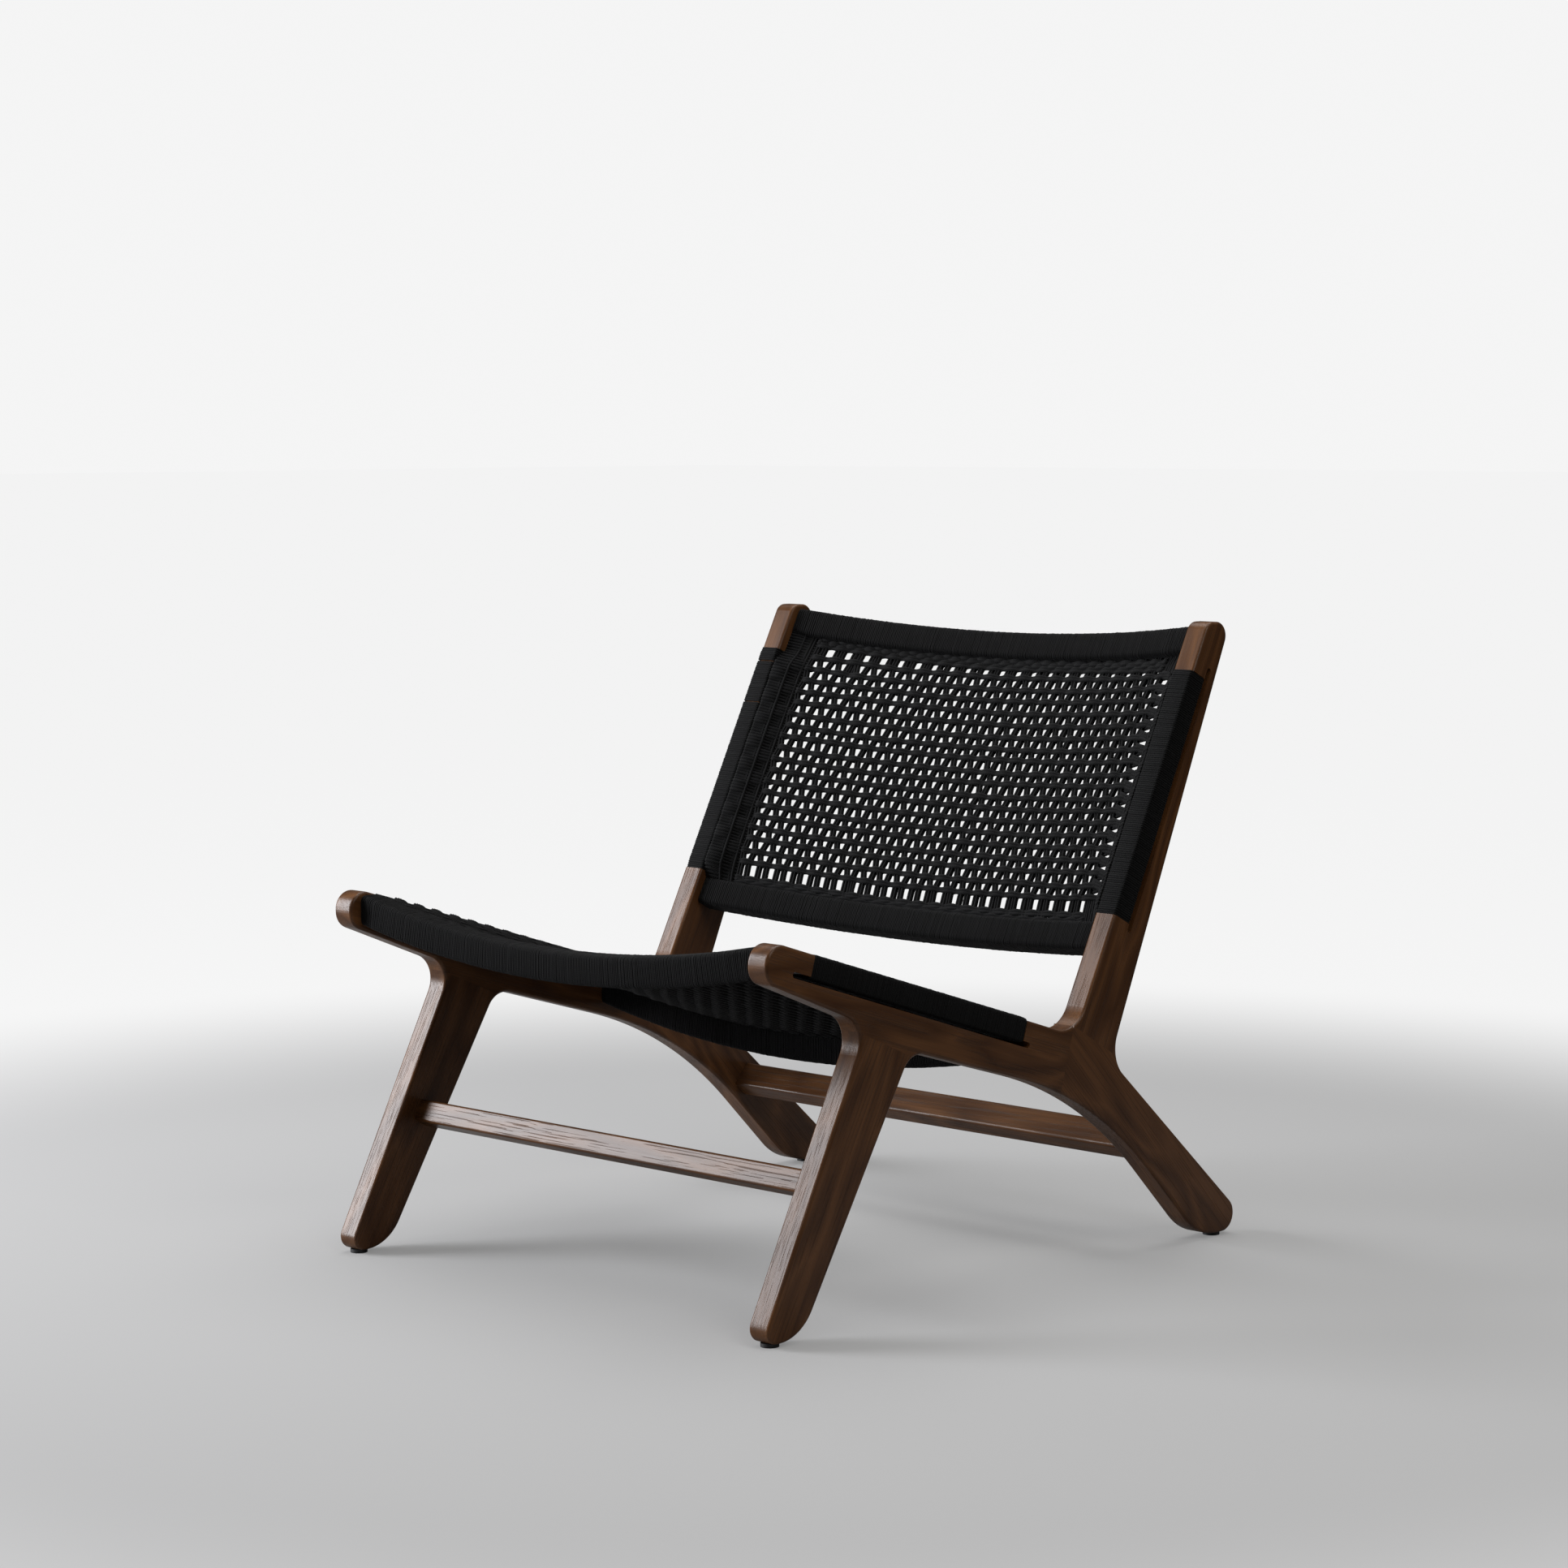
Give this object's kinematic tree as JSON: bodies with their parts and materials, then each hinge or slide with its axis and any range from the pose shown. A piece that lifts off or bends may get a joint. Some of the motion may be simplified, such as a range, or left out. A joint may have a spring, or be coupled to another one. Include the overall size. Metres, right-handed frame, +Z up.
{
  "type": "lounge chair",
  "caption": "Low armless lounge chair: flat shaped wood side frames leaning back, stretchers, bowed crossbars and a black cord weave for seat and back.",
  "frame": {"origin": "on the floor, at the centre of the bounding box seen from above", "axes": "+Z up, +Y towards the back of the chair, +X to the chair's left as a sitter sees it, the side of the right-hand frame when the chair is seen from the front"},
  "size_m": [0.66, 0.7733, 0.693],
  "materials": {
    "frame_wood": "satin dark brown stain over open grain",
    "dowel": "raw beech",
    "cord": "twisted black cord",
    "glide": "matte",
    "nail": "plain"
  },
  "bodies": {
    "root": {"right_seat_rail": "frame_wood", "right_front_leg": "frame_wood", "right_rear_leg": "frame_wood", "right_back_post": "frame_wood", "right_rail_wrap": "cord", "right_post_wrap": "cord", "right_dowels": "dowel", "right_front_glide": "glide", "right_rear_glide": "glide", "right_glide_nails": "nail", "left_seat_rail": "frame_wood", "left_front_leg": "frame_wood", "left_rear_leg": "frame_wood", "left_back_post": "frame_wood", "left_rail_wrap": "cord", "left_post_wrap": "cord", "left_dowels": "dowel", "left_front_glide": "glide", "left_rear_glide": "glide", "left_glide_nails": "nail", "seat_front_crossbar": "frame_wood", "seat_front_crossbar_wrap": "cord", "seat_rear_crossbar": "frame_wood", "seat_rear_crossbar_wrap": "cord", "back_bottom_crossbar": "frame_wood", "back_bottom_crossbar_wrap": "cord", "back_top_crossbar": "frame_wood", "back_top_crossbar_wrap": "cord", "front_stretcher": "frame_wood", "rear_stretcher": "frame_wood", "seat_web": "cord", "back_web": "cord"}
  },
  "joints": []
}
